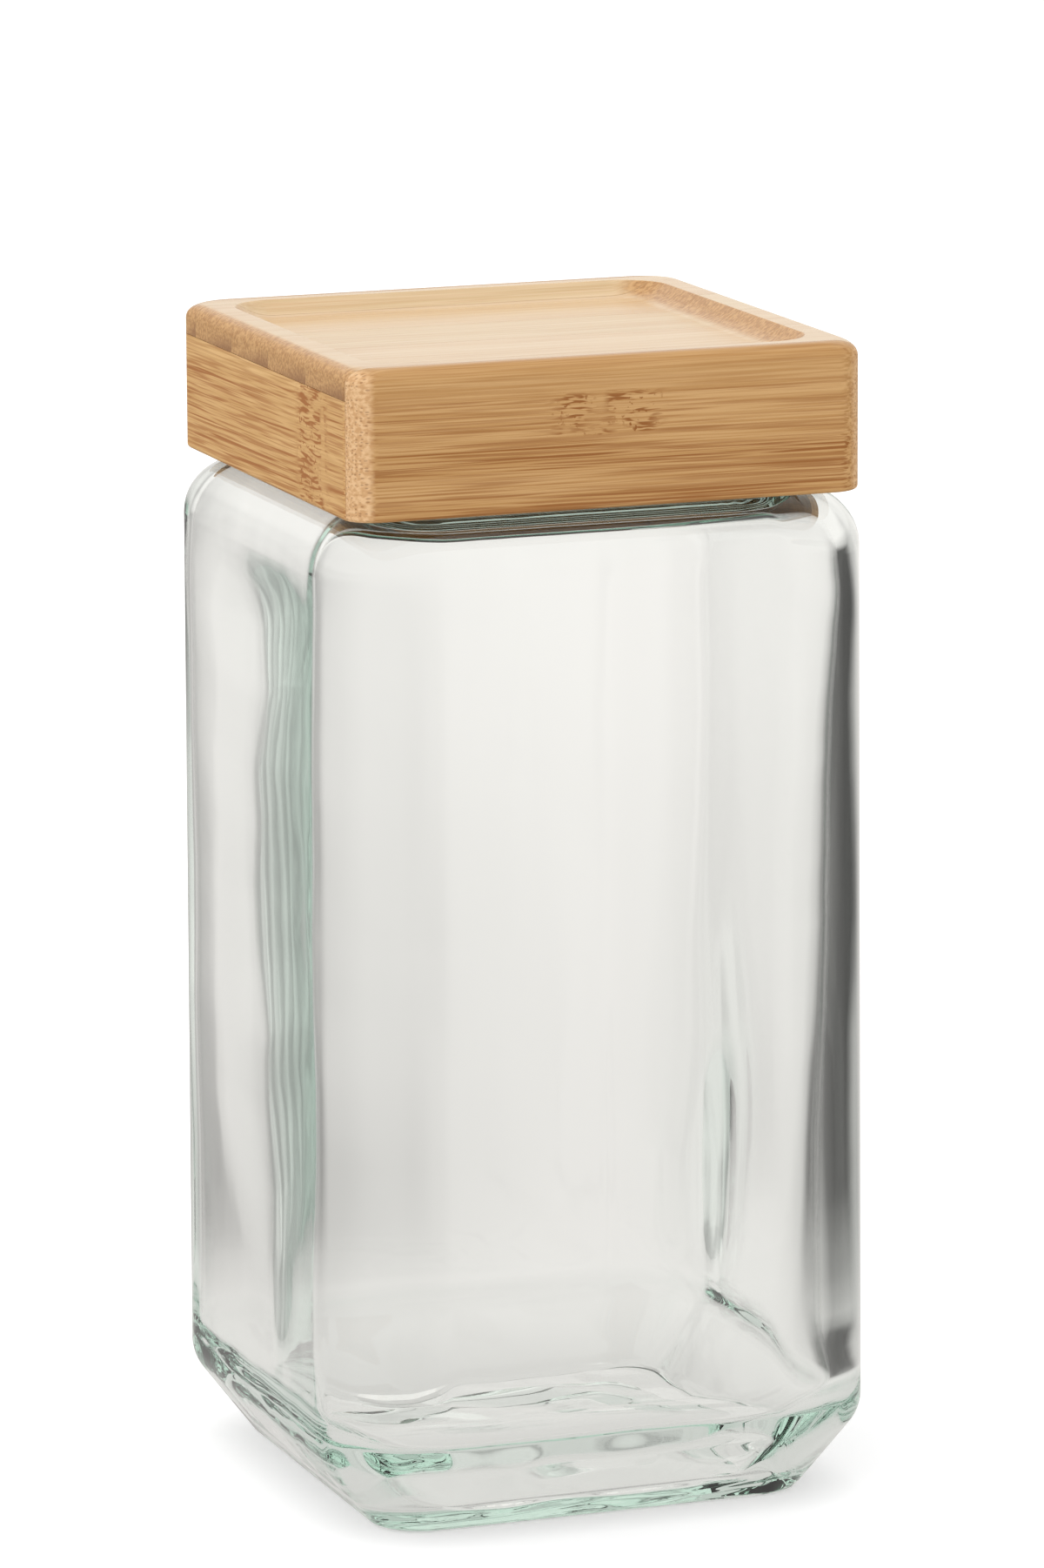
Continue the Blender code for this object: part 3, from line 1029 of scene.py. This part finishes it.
@dataclass(frozen=True)
class GlassJar:
    """The one-piece jar: narrow base, sloping band, straight walls, round shoulder and neck.

    Lengths are in metres.  What the frame doesn't tell is held here, and the rest is read from
    the frame's glass.

    Args:
        width: The body's width.
        rim_height: The rim's height, which is the jar's.
        neck_rise: How high the neck stands above the shoulder.
        draft: How much narrower the walls are at the top than at the hip, on each side.
        corner: The radius of the body's upright corners.
        shoulder_round: How the shoulder is rounded.
        base_inset: How much narrower the base is than the body, on each side.
        base_rise: How high the sloping band above the base reaches.
        base_corner: The radius of the base's upright corners.
        base_edge: How the base's edges are rounded.
        hip_round: How the band's upper edge is rounded.
        bearing: How wide the ring is that the jar stands on.
        hollow_slope: How far the hollow under the base slopes.
        hollow_depth: How deep it is.
        wall: The walls' thickness before the slices change it.
        inner_corner: The radius of the upright corners inside.
        inner_shoulder_round: How the shoulder is rounded inside.
        inner_hip_round: How the band's upper edge is rounded inside.
        floor_thickness: The floor's thickness.
        floor_inset: How much narrower the floor is than the inside, on each side.
        floor_rise: How high the inside slopes up from the floor.
        floor_corner: The radius of the floor's corners.
        floor_edge: How the floor's edge is rounded.
        neck_half: Half the neck's width.
        neck_wall: Its thickness.
        neck_corner: The radius of its upright corners.
        neck_foot: How its foot is rounded.
        rim_round: How the rim is rounded.
        wave: How far the long waves of the inside go.
        ripple: How far its short waves go.
        floor_swirl: How far the floor's swirls go.
        floor_ripple: How far the floor's small curls go.
        swirl_rise: How high the swirls reach, as a share of the band's height.
        swirl_seed: Sets the swirls' places, the same in each run.
        belly_out: How far out a wall's belly counts.
        belly_full: How far from the wall's middle a belly is full.
        belly_growth: How far from the middle it has grown by the slice's own measure.
        belly_end: Where along the wall it ends.
        belly_fade: Over what length it ends.
        gather_out: How far out a wall's gather counts.
        steps: How finely the jar is lofted.
    """

    width: float
    rim_height: float
    neck_rise: float = 0.023
    draft: float = 0.0005
    corner: float = 0.020
    shoulder_round: float = 0.0115
    base_inset: float = 0.0124
    base_rise: float = 0.0165
    base_corner: float = 0.0095
    base_edge: float = 0.003
    hip_round: float = 0.009
    bearing: float = 0.006
    hollow_slope: float = 0.012
    hollow_depth: float = 0.0012
    wall: float = 0.004
    inner_corner: float = 0.0170
    inner_shoulder_round: float = 0.013
    inner_hip_round: float = 0.011
    floor_thickness: float = 0.0055
    floor_inset: float = 0.012
    floor_rise: float = 0.0155
    floor_corner: float = 0.012
    floor_edge: float = 0.006
    neck_half: float = 0.044
    neck_wall: float = 0.0035
    neck_corner: float = 0.014
    neck_foot: float = 0.0005
    rim_round: float = 0.0015
    wave: float = 0.00018
    ripple: float = 0.00004
    floor_swirl: float = 0.0011
    floor_ripple: float = 0.00030
    swirl_rise: float = 1.6
    swirl_seed: int = 1
    belly_out: float = 0.040
    belly_full: float = 0.038
    belly_growth: float = 0.035
    belly_end: float = 0.050
    belly_fade: float = 0.012
    gather_out: float = 0.030
    steps: Steps = Steps(corner=32, side=34, arc=12, longest=0.0025)

    @property
    def half(self) -> float:
        """Half the body's width."""
        return self.width / 2

    @property
    def shoulder_height(self) -> float:
        """The height of the shoulder's flat top."""
        return self.rim_height - self.neck_rise

    @property
    def middle_of_rim(self) -> Turn:
        """The middle of the rim's top, where the outside meets the inside."""
        half_wall = self.neck_wall / 2
        return Turn(self.neck_half - half_wall, self.rim_height, self.neck_corner - half_wall)

    def outside(self) -> Outline:
        """The outline from the middle of the base, up the outside, to the top of the rim.

        Returns:
            The outline.
        """
        base = self.half - self.base_inset
        hollow = base - self.bearing - self.base_edge
        crown = hollow - self.hollow_slope
        top = self.half - self.draft
        return Outline(
            (
                Turn(self.floor_edge / 4, self.hollow_depth, self.floor_edge / 4),
                Turn(crown, self.hollow_depth, self.base_corner, self.base_corner),
                Turn(hollow, 0.0, self.base_corner, self.base_edge),
                Turn(base, 0.0, self.base_corner, self.base_edge),
                Turn(self.half, self.base_rise, self.corner, self.hip_round),
                Turn(top, self.shoulder_height, self.corner, self.shoulder_round),
                Turn(self.neck_half, self.shoulder_height, self.neck_corner, self.neck_foot),
                Turn(self.neck_half, self.rim_height, self.neck_corner, self.rim_round),
                self.middle_of_rim,
            )
        )

    def inside(self) -> Outline:
        """The outline from the top of the rim, down the inside, to the middle of the floor.

        Returns:
            The outline.
        """
        mouth = self.neck_half - self.neck_wall
        mouth_corner = self.neck_corner - self.neck_wall
        inner = self.half - self.wall
        floor = inner - self.floor_inset
        ceiling = self.shoulder_height - self.wall
        hip = self.floor_thickness + self.floor_rise
        return Outline(
            (
                self.middle_of_rim,
                Turn(mouth, self.rim_height, mouth_corner, self.rim_round),
                Turn(mouth, ceiling, mouth_corner, self.wall),
                Turn(inner - self.draft, ceiling, self.inner_corner, self.inner_shoulder_round),
                Turn(inner - self.draft / 4, self.rim_height * 0.4, self.inner_corner),
                Turn(inner, hip, self.inner_corner, self.inner_hip_round),
                Turn(floor, self.floor_thickness, self.floor_corner, self.floor_edge),
                Turn(self.floor_edge / 4, self.floor_thickness, self.floor_edge / 4),
            )
        )

    def waviness(self, point: Vector) -> float:
        """How far the glass waves in or out at a point of the inside, most of all in the base.

        Args:
            point: The point.

        Returns:
            The distance in metres.
        """
        long_wave = noise.noise(LONG_WAVE.spot(point))
        short_wave = noise.noise(SHORT_WAVE.spot(point))
        low_share = min(1.0, max(0.0, (self.base_rise * self.swirl_rise - point.z) / self.base_rise))
        warp = noise.noise_vector(WARP.spot(point))
        swirl = noise.noise(SWIRL.spot(point) + warp * SWIRL_WARP)
        curl = noise.noise(CURL.spot(point) + warp * CURL_WARP)
        wave = self.wave * long_wave + self.ripple * short_wave
        return wave + low_share * (self.floor_swirl * swirl + self.floor_ripple * curl)

    def uneven(self, point: Vector, station: Station) -> Vector:
        """Where a point of the inside really lies: moulded glass is never quite even.

        Args:
            point: The drawn point.
            station: The level that it belongs to.

        Returns:
            The point, moved a little into the glass or out of it.
        """
        if point.z > self.shoulder_height - self.wall * 2:
            return point
        wave = self.waviness(point)
        if point.z < self.floor_thickness + self.floor_edge / 8:
            return point + Vector((0.0, 0.0, wave))
        straight = station.half - station.corner
        past = (math.copysign(max(abs(side) - straight, 0.0), side) for side in point[:2])
        stray = self.thinner(point, self.slice_at(point.z)) * self.fade(point.z)
        return point + Vector((*past, 0.0)).normalized() * (stray + wave)

    def fade(self, height: float) -> float:
        """How fully the slices count at a height: not at all at the shoulder and the hip.

        Args:
            height: The height in metres.

        Returns:
            The share, from 0 to 1.
        """
        above = (height - self.base_rise) / self.inner_corner
        below = (self.shoulder_height - self.wall * 2 - height) / self.inner_corner
        return max(0.0, min(1.0, above, below))

    def slice_at(self, height: float) -> Slice:
        """The slice at a height, blended from the ones below and above it.

        Args:
            height: The height in metres.

        Returns:
            The slice.
        """
        level = height * 1000
        for lower, upper in zip(SLICES, SLICES[1:]):
            if level < upper.height:
                share = (level - lower.height) / (upper.height - lower.height)
                return lower.blended(upper, max(0.0, share))
        return SLICES[-1]

    def thinner(self, point: Vector, here: Slice) -> float:
        """How much thinner the wall is at a point than an even wall, in metres.

        Args:
            point: The point of the inside.
            here: The slice at its height.

        Returns:
            The difference, below zero where the wall is thicker.
        """
        total = 0.0
        sides = ((point.x, point.y), (point.y, point.x), (-point.x, point.y), (-point.y, point.x))
        for belly, (out, along) in zip(here.bellies, sides):
            if out > self.belly_out:
                grown = min(abs(along), self.belly_full) / self.belly_growth
                ended = (self.belly_end - abs(along)) / self.belly_fade
                total += belly * grown**2 * min(1.0, max(0.0, ended))
        for side, (middle, reach, push) in ((-1, here.left_gather), (1, here.right_gather)):
            if side * point.x > self.gather_out:
                total -= push * math.exp(-(((point.y * 1000 - middle) / reach) ** 2))
        return total / 1000

    def build(self) -> bpy.types.Object:
        """Builds the jar and hangs it on its body.

        Returns:
            The glass.
        """
        noise.seed_set(self.swirl_seed)
        rings = [ring_points(station, self.steps) for station in self.outside().stations(self.steps)]
        for station in self.inside().stations(self.steps)[1:]:
            share = self.fade(station.height) / 1000
            rounder = [change * share for change in self.slice_at(station.height).corners]
            points = ring_points(station, self.steps, rounder)
            rings.append([self.uneven(point, station) for point in points])
        mesh = mesh_from(loft_rings(rings), "glass_shell")
        return hang_piece("glass_shell", mesh, GlassFinish().material(), "jar", ["glass_jar"])


@dataclass(frozen=True)
class BambooLid:
    """The lid: two long rails, two short rails, the panel's strips, the plug and its seal.

    Lengths are in metres.  Each board is cut out of the lid's one finished form, so that the
    rounded edges run on from board to board.

    Args:
        low: The lid's low corner.
        high: Its high corner.
        upright_corner: The radius of its upright corners.
        top_round: How its top edge is rounded.
        bottom_round: How its bottom edge is rounded.
        recess_half: Half the width of the recess in its top.
        recess_depth: How deep the recess is.
        recess_corner: The radius of the recess's corners.
        cove: The radius of the recess's hollow edge.
        rim_soften: How the edge above it is rounded.
        calm_depth: How far below the top the front rail's streaks turn faint.
        plug_corner: The radius of the plug's upright corners.
        plug_edge: How its lower edge is rounded.
        groove_depth: How deep the groove round it is.
        seal_slack: The play that the seal has in the groove.
        seal_band: How thick the seal's band is.
        seal_edge: How the band's edges are rounded.
        fins: How many fins it has.
        fin_root: Half a fin's thickness at its root.
        fin_fillet: How the root runs into the band.
        fin_end: Half a fin's thickness at its round end.
    """

    low: Vector
    high: Vector
    upright_corner: float = 0.0055
    top_round: float = 0.003
    bottom_round: float = 0.0008
    recess_half: float = 0.045
    recess_depth: float = 0.003
    recess_corner: float = 0.0095
    cove: float = 0.004
    rim_soften: float = 0.0006
    calm_depth: float = 0.0062
    plug_corner: float = 0.0075
    plug_edge: float = 0.0008
    groove_depth: float = 0.0015
    seal_slack: float = 0.0003
    seal_band: float = 0.0016
    seal_edge: float = 0.0002
    fins: int = 2
    fin_root: float = 0.0008
    fin_fillet: float = 0.0005
    fin_end: float = 0.00035

    @property
    def half(self) -> float:
        """Half the lid's width."""
        return self.high.x

    def form(self) -> bmesh.types.BMesh:
        """The lid's finished outside as one solid block, with the recess in its top.

        Returns:
            The block.
        """
        top = self.high.z
        bottom = self.low.z
        floor = top - self.recess_depth
        cove_reach = math.sqrt(self.cove**2 - (self.cove - self.recess_depth) ** 2)
        wall_half = self.recess_half + self.cove - cove_reach
        cove_corner = self.recess_corner + wall_half - self.recess_half
        inner_half = self.recess_half - self.cove * 2
        outline = Outline(
            (
                Turn(self.half - self.bottom_round * 2, bottom, self.upright_corner),
                Turn(self.half, bottom, self.upright_corner, self.bottom_round),
                Turn(self.half, top, self.upright_corner, self.top_round),
                Turn(self.recess_half, top, self.recess_corner, self.rim_soften),
                Turn(wall_half - self.cove, floor, cove_corner - self.cove * 0.9, self.cove * 1.9),
                Turn(inner_half, floor, self.cove / 2),
            )
        )
        return outline.loft(self.steps())

    def steps(self, arc: int = 8) -> Steps:
        """How finely the lid's pieces are lofted, with so many steps round each arc."""
        return Steps(corner=12, side=4, arc=arc, longest=self.half)

    def cut_board(self, name: str) -> bpy.types.Mesh:
        """Cuts one board out of the lid's form, at the faces of its node in the frame.

        Args:
            name: The board's node.

        Returns:
            The board's mesh.
        """
        shape = self.form()
        low, high = (Vector(corner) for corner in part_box(name))
        for axis in range(3):
            for face, outwards in ((low[axis], -1), (high[axis], 1)):
                outer_face = (self.low if outwards < 0 else self.high)[axis]
                if abs(face - outer_face) < self.bottom_round / 4:
                    continue
                normal = Vector((0.0, 0.0, 0.0))
                normal[axis] = outwards
                place = Vector((0.0, 0.0, 0.0))
                place[axis] = face
                cut = bmesh.ops.bisect_plane(
                    shape,
                    geom=[*shape.verts, *shape.edges, *shape.faces],
                    plane_co=place,
                    plane_no=normal,
                    clear_outer=True,
                )
                edges = [item for item in cut["geom_cut"] if isinstance(item, bmesh.types.BMEdge)]
                bmesh.ops.holes_fill(shape, edges=edges)
        bmesh.ops.remove_doubles(shape, verts=shape.verts, dist=self.bottom_round / 100)
        bmesh.ops.recalc_face_normals(shape, faces=shape.faces)
        return mesh_from(shape, name)

    def hang_board(self, name: str, mesh: bpy.types.Mesh, finish: BambooFinish) -> None:
        """Dresses one board and hangs it on the lid.

        Args:
            name: The board's node.
            mesh: Its mesh.
            finish: Its finish.
        """
        piece = hang_piece(f"{name}_board", mesh, finish.material(), "lid", [name])
        piece.modifiers.new("even_shading", "WEIGHTED_NORMAL").keep_sharp = True

    def build_rails(self) -> None:
        """The four boards on edge that make the skirt."""
        front_knuckle = Knuckle(-0.001, spread=0.0105, low=0.2130, high=0.2212, shift=0.0003)
        side_knuckle = Knuckle(-0.029, spread=0.0085, shift=0.0007, dash=0.0052)
        finishes = {
            "front_rail": BambooFinish(
                "front_rail_bamboo",
                GrainAxis.ALONG_X,
                seed=1.0,
                calm_above=self.high.z - self.calm_depth,
                knuckles=(front_knuckle,),
            ),
            "rear_rail": BambooFinish("rear_rail_bamboo", GrainAxis.ALONG_X, seed=5.0),
            "left_rail": BambooFinish(
                "left_rail_bamboo",
                GrainAxis.ALONG_Y,
                seed=9.0,
                slope=0.018,
                reach=1.9,
                ground=tone(208, 163, 104),
                light=tone(228, 186, 128),
                deep=tone(196, 148, 88),
                fibre=tone(160, 92, 34),
                knuckles=(side_knuckle,),
            ),
            "right_rail": BambooFinish(
                "right_rail_bamboo",
                GrainAxis.ALONG_Y,
                seed=13.0,
                knuckles=(Knuckle(place=0.021, spread=0.006),),
            ),
        }
        for name, finish in finishes.items():
            self.hang_board(name, self.cut_board(name), finish)

    def build_panel(self) -> None:
        """The strips of the top panel."""
        names = sorted(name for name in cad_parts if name.startswith("panel_strip_"))
        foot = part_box(names[0])[0][2]
        for index, name in enumerate(names):
            finish = BambooFinish(
                f"{name}_bamboo",
                GrainAxis.ALONG_X,
                seed=20.0 + 3.0 * index,
                # The strips' ground, light, deep and fibre tones are lifted above the rails' to paint in
                # the whitish sheen that the top shows under the light from above: painted sheen.
                ground=tone(214 + 3 * (index % 2), 184 + 2 * (index % 3), 142),
                light=tone(226, 198, 158),
                deep=tone(210, 172, 122),
                end_ground=tone(208, 162, 106),
                end_shade=tone(178, 129, 76),
                end_fibre=tone(136, 90, 44),
                fibre=tone(190, 138, 80),
                streaks=0.4,
                dots=0.6,
                sheen=0.5,
                bundle=0.00050,
                dusk=0.7,
                foot=foot,
                dusk_run=(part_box(name)[0][1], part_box(name)[1][1]),
            )
            self.hang_board(name, self.cut_board(name), finish)

    def build_plug(self) -> None:
        """The board under the panel, with the groove that holds the seal."""
        low, high = (Vector(corner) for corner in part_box("plug_board"))
        seal_low, seal_high = (Vector(corner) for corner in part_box("silicone_seal"))
        corner = self.plug_corner
        deep = self.groove_depth
        floor = seal_low.z - self.seal_slack
        ceiling = seal_high.z + self.seal_slack
        outline = Outline(
            (
                Turn(high.x - deep * 3, low.z, corner - deep * 3),
                Turn(high.x, low.z, corner, self.plug_edge),
                Turn(high.x, floor, corner, self.plug_edge / 4),
                Turn(high.x - deep, floor, corner - deep),
                Turn(high.x - deep, ceiling, corner - deep),
                Turn(high.x, ceiling, corner, self.plug_edge / 4),
                Turn(high.x, high.z, corner),
                Turn(high.x - deep * 3, high.z, corner - deep * 3),
            )
        )
        finish = BambooFinish("plug_bamboo", GrainAxis.ALONG_X, seed=41.0, streaks=0.6)
        self.hang_board("plug_board", mesh_from(outline.loft(self.steps()), "plug_board"), finish)

    def build_seal(self) -> None:
        """The finned ring in the plug's groove."""
        low, high = (Vector(corner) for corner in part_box("silicone_seal"))
        plug_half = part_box("plug_board")[1][0]
        back = plug_half - self.groove_depth + self.seal_slack
        band = back + self.seal_band
        tip = high.x
        pitch = (high.z - low.z) / self.fins
        turns = [Turn(half, low.z, 0, self.seal_edge) for half in (back, band)]
        for index in range(self.fins):
            middle = low.z + pitch * (index + 0.5)
            turns += [
                Turn(band, middle - self.fin_root, 0, self.fin_fillet),
                Turn(tip, middle - self.fin_end, 0, self.fin_end),
                Turn(tip, middle + self.fin_end, 0, self.fin_end),
                Turn(band, middle + self.fin_root, 0, self.fin_fillet),
            ]
        turns += [Turn(half, high.z, 0, self.seal_edge) for half in (band, back)]
        placed = tuple(turn._replace(corner=self.plug_corner + turn.half - plug_half) for turn in turns)
        mesh = mesh_from(Outline(placed, closed=True).loft(self.steps(arc=5)), "seal_ring")
        hang_piece("seal_ring", mesh, SiliconeFinish().material(), "lid", ["silicone_seal"])

    def build(self) -> None:
        """Builds every piece of the lid."""
        self.build_rails()
        self.build_panel()
        self.build_plug()
        self.build_seal()


@dataclass(frozen=True)
class Studio:
    """The white room: a pale floor, soft light from all round and the camera.

    Args:
        away: The level direction from the camera to the jar.
        floor_half: Half the floor's width.
        levels: How bright the room is that metal and glass show, by the angle in degrees from
            straight behind the jar, turning to the picture's left.
        far_level: How bright the floor is that they show, far from the jar.
        near_painted_shade: How much darker it is near the jar, a painted shade where the jar keeps light
            off the floor.
        under_painted_shadow: How much darker again it is right under the jar, a painted shadow.
        warmth: The tint of what they show.
        key_direction: Where the strongest light on the object comes from.
        key_level: How much it adds.
        top_level: How much the light from above adds.
        right_loss: How much darker the light from the right is.
        plain_level: The light from all round.
        floor_tone: The floor's own colour.
        floor_lift: What the camera sees it shine with, so that it meets the white backdrop.
        top_span: How far up the light from above starts, and where it is full.
        right_span: The same to the right, for the darker side.
        ceiling_span: The same upwards, for the white ceiling that metal and glass show.
        near_shade_span: From where to where on the floor the painted shade near the jar goes.
        under_shadow_span: From where to where the painted shadow under the jar grows.
        wall_span: From where to where the floor takes on the brightness of the walls.
        bounces: How often light may bounce, which the thick glass needs.
        camera_place: Where the camera stands.
        camera_yaw: How far it turns to the left.
        camera_pitch: How far it looks down.
        camera_roll: How far it leans.
        focal_length: The lens, in millimetres.
        sensor: The width that it fills, in millimetres.
    """

    away: Vector = Vector((0.3455, 0.9384, 0.0))
    floor_half: float = 3.0
    levels: tuple[tuple[float, float], ...] = (
        (-180, 0.70), (-135, 0.75), (-110, 0.24), (-90, 0.12), (-75, 0.15), (-62, 0.60), (-52, 0.52),
        (-45, 0.70), (-38, 0.60), (-33, 0.42), (-25, 0.42), (-15, 0.53), (-8, 0.80), (0, 0.96),
        (15, 0.96), (24, 0.90), (30, 0.74), (36, 0.62), (40, 0.42), (44, 0.20), (48, 0.08), (60, 0.08),
        (70, 0.16), (80, 0.58), (110, 1.0), (135, 1.0), (180, 0.70),
    )
    far_level: float = 1.0
    # Painted shade near the jar and painted shadow right under it.
    near_painted_shade: float = 0.14
    under_painted_shadow: float = 0.18
    warmth: Colour = (1.0, 0.968, 0.936, 1.0)
    key_direction: tuple[float, float, float] = (-0.75, -0.25, 0.6)
    key_level: float = 0.30
    top_level: float = 0.40
    right_loss: float = 0.30
    plain_level: float = 0.80
    floor_tone: Colour = (0.82, 0.82, 0.82, 1.0)
    floor_lift: float = 0.36
    top_span: tuple[float, float] = (0.15, 0.9)
    right_span: tuple[float, float] = (0.4, 0.9)
    ceiling_span: tuple[float, float] = (0.03, 0.25)
    near_shade_span: tuple[float, float] = (0.05, 1.1)
    under_shadow_span: tuple[float, float] = (0.13, 0.04)
    wall_span: tuple[float, float] = (0.08, 0.26)
    bounces: int = 24
    camera_place: Vector = Vector((-0.5556, -1.5110, 0.4612))
    camera_yaw: float = math.radians(-20.21)
    camera_pitch: float = math.radians(11.41)
    camera_roll: float = math.radians(-0.33)
    focal_length: float = 192.9
    sensor: float = 36.0

    def room_level(self, place: Value) -> Value:
        """How bright the room's walls are that metal and glass show, all the way round.

        Args:
            place: A direction, or a place on the floor seen from the jar.

        Returns:
            The level, from 0 to 1.
        """
        wiring = place.wiring
        sideways = place.dot(self.away.cross(Vector((0, 0, 1))))
        turned = wiring.math("ARCTAN2", sideways, place.dot(self.away))
        share = wiring.math("DIVIDE", turned, math.tau) + 0.5
        ramp = wiring.node("ShaderNodeValToRGB", {0: share})
        stops = ramp.color_ramp.elements
        while len(stops) < len(self.levels):
            stops.new(0.5)
        for stop, (angle, level) in zip(stops, self.levels):
            stop.position = (angle + 180) / 360
            stop.color = (level, level, level, 1.0)
        return Value(wiring, ramp.outputs["Color"])

    def rays(self, wiring: Wiring) -> tuple[Value, Value]:
        """Which sort of ray meets the room.

        Args:
            wiring: The wiring of the room's material or world.

        Returns:
            Whether the ray comes straight from the camera, and whether the object has mirrored it
            or let it through.
        """
        sorts = ("Is Camera Ray", "Is Glossy Ray", "Is Transmission Ray")
        camera, glossy, passed = (wiring.read("ShaderNodeLightPath", sort) for sort in sorts)
        return camera, glossy.larger(passed)

    def build_world(self) -> None:
        """Lights the room from all round."""
        world = bpy.data.worlds.new("white_room")
        world.use_nodes = True
        bpy.context.scene.world = world
        wiring = Wiring(world.node_tree)
        direction = wiring.read("ShaderNodeTexCoord", "Generated")
        upward = direction.split()[2]
        key = direction.dot(self.key_direction) * self.key_level
        top = upward.step(*self.top_span) * self.top_level
        loss = direction.dot((1, 0, 0)).step(*self.right_span) * self.right_loss
        plain = key + (top - loss) + self.plain_level
        room = self.room_level(direction).larger(upward.step(*self.ceiling_span))
        camera, passed = self.rays(wiring)
        level = camera.mix(passed.mix(plain, room, MixKind.NUMBERS), 1.0, MixKind.NUMBERS)
        light = {"Color": passed.mix(WHITE, self.warmth), "Strength": level}
        background = wiring.read("ShaderNodeBackground", 0, light)
        wiring.node("ShaderNodeOutputWorld", {"Surface": background})

    def build_floor(self) -> None:
        """The pale floor that the jar stands on."""
        shape = bmesh.new()
        bmesh.ops.create_grid(shape, x_segments=8, y_segments=8, size=self.floor_half)
        floor = bpy.data.objects.new("studio_floor", mesh_from(shape, "studio_floor"))
        bpy.context.scene.collection.objects.link(floor)
        material, wiring = new_material("white_floor")
        place = wiring.read("ShaderNodeTexCoord", "Object")
        away = wiring.read("ShaderNodeVectorMath", "Value", {0: place}, operation="LENGTH")
        # Painted shade near the jar and painted shadow under it, in the floor that metal and glass show.
        near = (1.0 - away.step(*self.near_shade_span)) * self.near_painted_shade
        under = away.step(*self.under_shadow_span) * self.under_painted_shadow
        room = away.step(*self.wall_span).mix(1.0, self.room_level(place), MixKind.NUMBERS)
        glow = {"Color": self.warmth, "Strength": (self.far_level - near - under) * room}
        seen = wiring.read("ShaderNodeEmission", 0, glow)
        plain = wiring.read("ShaderNodeBsdfDiffuse", 0, {"Color": self.floor_tone})
        lift = wiring.read("ShaderNodeEmission", 0, {"Strength": self.floor_lift})
        lifted = wiring.read("ShaderNodeAddShader", 0, {0: plain, 1: lift})
        camera, passed = self.rays(wiring)
        surface = wiring.read("ShaderNodeMixShader", 0, {0: camera, 1: plain, 2: lifted})
        surface = wiring.read("ShaderNodeMixShader", 0, {0: passed, 1: surface, 2: seen})
        wiring.node("ShaderNodeOutputMaterial", {"Surface": surface})
        floor.data.materials.append(material)

    def build_camera(self) -> None:
        """The camera, at the photograph's viewing angle."""
        lens = bpy.data.cameras.new("product_camera")
        lens.lens = self.focal_length
        lens.sensor_width = self.sensor
        camera = bpy.data.objects.new("product_camera", lens)
        bpy.context.scene.collection.objects.link(camera)
        turn = (
            Matrix.Rotation(self.camera_yaw, 3, "Z")
            @ Matrix.Rotation(math.radians(90) - self.camera_pitch, 3, "X")
            @ Matrix.Rotation(self.camera_roll, 3, "Z")
        )
        camera.matrix_world = Matrix.Translation(self.camera_place) @ turn.to_4x4()
        bpy.context.scene.camera = camera

    def build(self) -> None:
        """Builds the room and the camera."""
        scene = bpy.context.scene
        scene.view_settings.view_transform = "Standard"
        scene.cycles.max_bounces = self.bounces
        scene.cycles.transmission_bounces = self.bounces
        scene.cycles.glossy_bounces = self.bounces
        self.build_world()
        self.build_floor()
        self.build_camera()


def main() -> None:
    """Builds the studio, the jar and its lid."""
    logging.basicConfig(level=logging.INFO, format="%(name)s: %(message)s")
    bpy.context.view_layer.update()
    Studio().build()
    glass_low, glass_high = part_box("glass_jar")
    GlassJar(width=glass_high[0] - glass_low[0], rim_height=glass_high[2]).build()
    rail_low, rail_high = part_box("front_rail")
    half = rail_high[0]
    lid_low = Vector((-half, -half, rail_low[2]))
    lid_high = Vector((half, half, rail_high[2]))
    BambooLid(lid_low, lid_high).build()


if __name__ == "__main__":
    main()
